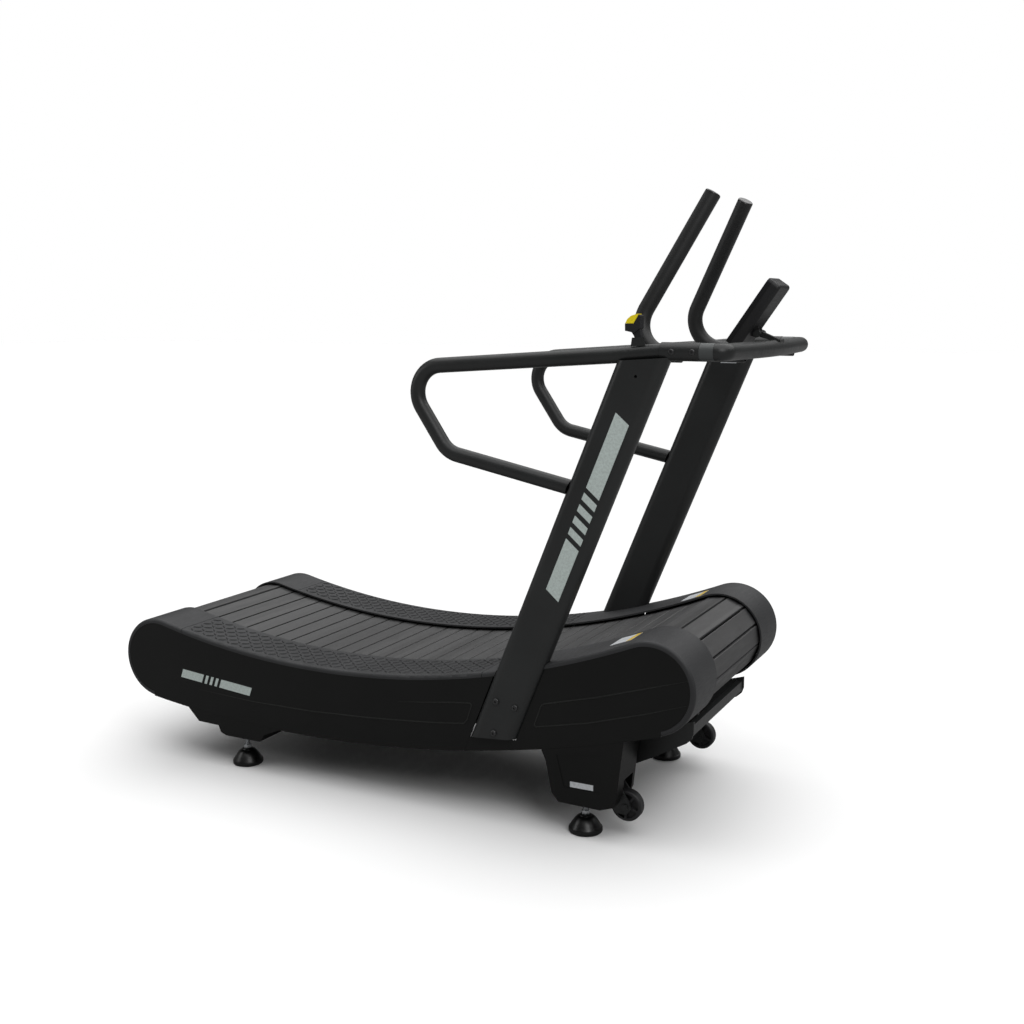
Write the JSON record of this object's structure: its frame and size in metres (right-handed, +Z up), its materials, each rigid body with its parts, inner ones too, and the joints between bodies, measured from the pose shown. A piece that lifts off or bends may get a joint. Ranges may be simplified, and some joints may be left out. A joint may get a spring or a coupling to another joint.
{
  "type": "curved manual treadmill",
  "caption": "Motorless treadmill with a concave slat belt between two drums, leaning uprights, looped handrails, push handles, a tilting console, transport wheels and levelling feet.",
  "frame": {"origin": "on the floor, at the middle of the bounding box's bottom", "axes": "+X the way the runner faces, +Y the runner's left, +Z up"},
  "size_m": [2.0445, 0.838, 1.7561],
  "materials": {
    "black_powder_coat": "satin black powder coat with a fine orange peel",
    "black_cover_plastic": "satin moulded black plastic",
    "rail_plastic": "dark grey textured plastic",
    "slat_rubber": "dark grey ribbed rubber",
    "belt_rubber": "black rubber belt",
    "wheel_rubber": "black rubber-tyred wheel",
    "foot_rubber": "glossy black rubber",
    "grip_rubber": "matt black grip sleeve",
    "pulley_aluminium": "machined",
    "disc_aluminium": "turned",
    "bright_steel": "ground",
    "grey_iron": "cast, painted grey",
    "zinc_plate": "zinc plated",
    "black_bolt": "black oxide, semi gloss",
    "grey_collar": "dark grey satin",
    "gloss_black_plastic": "glossy",
    "lever_plastic": "textured black plastic",
    "yellow_plastic": "satin yellow",
    "console_grey_plastic": "grey moulded plastic",
    "console_black_plastic": "black moulded plastic",
    "console_lens": "smoked clear window",
    "button_plastic": "grey rubberised plastic"
  },
  "bodies": {
    "root": {"bar_bolts": "black_bolt", "bar_joiners": "black_powder_coat", "bearing_rails": "bright_steel", "carrier_belts": "belt_rubber", "collars": "grey_collar", "console_bracket": "black_powder_coat", "crossmembers": "black_powder_coat", "foot_housing_front_left": "black_cover_plastic", "foot_housing_front_right": "black_cover_plastic", "foot_housing_rear_left": "black_cover_plastic", "foot_housing_rear_right": "black_cover_plastic", "foot_pad_left": "rail_plastic", "foot_pad_right": "rail_plastic", "frame_posts": "black_powder_coat", "frame_rails": "black_powder_coat", "front_bar": "black_powder_coat", "front_cap_left": "rail_plastic", "front_cap_right": "rail_plastic", "handle_caps": "gloss_black_plastic", "handle_grips": "grip_rubber", "handles": "black_powder_coat", "handrail_left": "black_powder_coat", "handrail_right": "black_powder_coat", "lever_housing": "black_powder_coat", "lock_nuts": "zinc_plate", "pillow_blocks": "grey_iron", "rail_bearings": "bright_steel", "rear_cap_left": "rail_plastic", "rear_cap_right": "rail_plastic", "side_cover_front_left": "black_cover_plastic", "side_cover_front_right": "black_cover_plastic", "side_cover_rear_left": "black_cover_plastic", "side_cover_rear_right": "black_cover_plastic", "upright_bolts": "black_bolt", "upright_left": "black_powder_coat", "upright_right": "black_powder_coat", "wheel_brackets": "black_powder_coat"},
    "front_drum": {"front_shaft": "bright_steel", "front_pulleys": "pulley_aluminium", "brake_disc": "disc_aluminium", "slats_front": "slat_rubber"},
    "rear_drum": {"rear_shaft": "bright_steel", "rear_pulleys": "pulley_aluminium", "slats_rear": "slat_rubber"},
    "running_slats": {"slats_upper": "slat_rubber"},
    "return_slats": {"slats_lower": "slat_rubber"},
    "wheel_right_body": {"wheel_right": "wheel_rubber"},
    "wheel_left_body": {"wheel_left": "wheel_rubber"},
    "foot_front_right_body": {"foot_front_right": "foot_rubber"},
    "foot_front_left_body": {"foot_front_left": "foot_rubber"},
    "foot_rear_right_body": {"foot_rear_right": "foot_rubber"},
    "foot_rear_left_body": {"foot_rear_left": "foot_rubber"},
    "lever_body": {"lever": "lever_plastic", "lever_cap": "yellow_plastic"},
    "magnet_yoke_body": {"magnet_yoke": "black_powder_coat"},
    "console": {"console_back": "console_grey_plastic", "console_bezel": "console_black_plastic", "console_lens": "console_lens"},
    "button_right_body": {"console_button_right": "button_plastic"},
    "button_left_body": {"console_button_left": "button_plastic"}
  },
  "joints": [
    {"name": "belt_travel", "type": "hinge", "parent": "root", "child": "running_slats", "pos_m": [-0.25, 0, 2.98], "axis": [0, -1, 0], "range_deg": [-0.65, 0.65]},
    {"name": "front_drum_spin", "type": "hinge", "parent": "root", "child": "front_drum", "pos_m": [0.79693, 0, 0.45872], "axis": [0, 1, 0], "range_deg": [-15.1, 15.1]},
    {"name": "rear_drum_spin", "type": "hinge", "parent": "root", "child": "rear_drum", "pos_m": [-0.8924, 0, 0.32666], "axis": [0, 1, 0], "range_deg": [-15.1, 15.1]},
    {"name": "return_travel", "type": "hinge", "parent": "root", "child": "return_slats", "pos_m": [-0.43179, 0, 5.3054], "axis": [0, 1, 0], "range_deg": [-0.335, 0.335]},
    {"name": "wheel_right_spin", "type": "hinge", "parent": "root", "child": "wheel_right_body", "pos_m": [0.715, -0.321, 0.097], "axis": [0, 1, 0], "continuous": true},
    {"name": "wheel_left_spin", "type": "hinge", "parent": "root", "child": "wheel_left_body", "pos_m": [0.715, 0.321, 0.097], "axis": [0, 1, 0], "continuous": true},
    {"name": "foot_front_right_screw", "type": "slide", "parent": "root", "child": "foot_front_right_body", "axis": [0, 0, 1], "range_m": [-0.02, 0.01]},
    {"name": "foot_front_left_screw", "type": "slide", "parent": "root", "child": "foot_front_left_body", "axis": [0, 0, 1], "range_m": [-0.02, 0.01]},
    {"name": "foot_rear_right_screw", "type": "slide", "parent": "root", "child": "foot_rear_right_body", "axis": [0, 0, 1], "range_m": [-0.02, 0.01]},
    {"name": "foot_rear_left_screw", "type": "slide", "parent": "root", "child": "foot_rear_left_body", "axis": [0, 0, 1], "range_m": [-0.02, 0.01]},
    {"name": "lever_swing", "type": "hinge", "parent": "root", "child": "lever_body", "pos_m": [0.752, -0.385, 1.367], "axis": [0, 1, 0], "range_deg": [0, 30]},
    {"name": "yoke_swing", "type": "hinge", "parent": "root", "child": "magnet_yoke_body", "pos_m": [0.652, -0.33, 0.452], "axis": [0, 1, 0], "range_deg": [0, 12.1]},
    {"name": "console_tilt", "type": "hinge", "parent": "root", "child": "console", "pos_m": [0.95315, 0, 1.37849], "axis": [0, 1, 0], "range_deg": [-12, 15]},
    {"name": "button_right_press", "type": "slide", "parent": "console", "child": "button_right_body", "axis": [0.8261, 0, -0.5635], "range_m": [0, 0.0016], "stiffness_N_per_m": 500},
    {"name": "button_left_press", "type": "slide", "parent": "console", "child": "button_left_body", "axis": [0.8261, 0, -0.5635], "range_m": [0, 0.0016], "stiffness_N_per_m": 500}
  ],
  "couplings": [
    {"joint": "front_drum_spin", "follows": "belt_travel", "ratio": 23.23},
    {"joint": "rear_drum_spin", "follows": "belt_travel", "ratio": 23.23},
    {"joint": "return_travel", "follows": "belt_travel", "ratio": 0.51193},
    {"joint": "yoke_swing", "follows": "lever_swing", "ratio": 0.4}
  ]
}
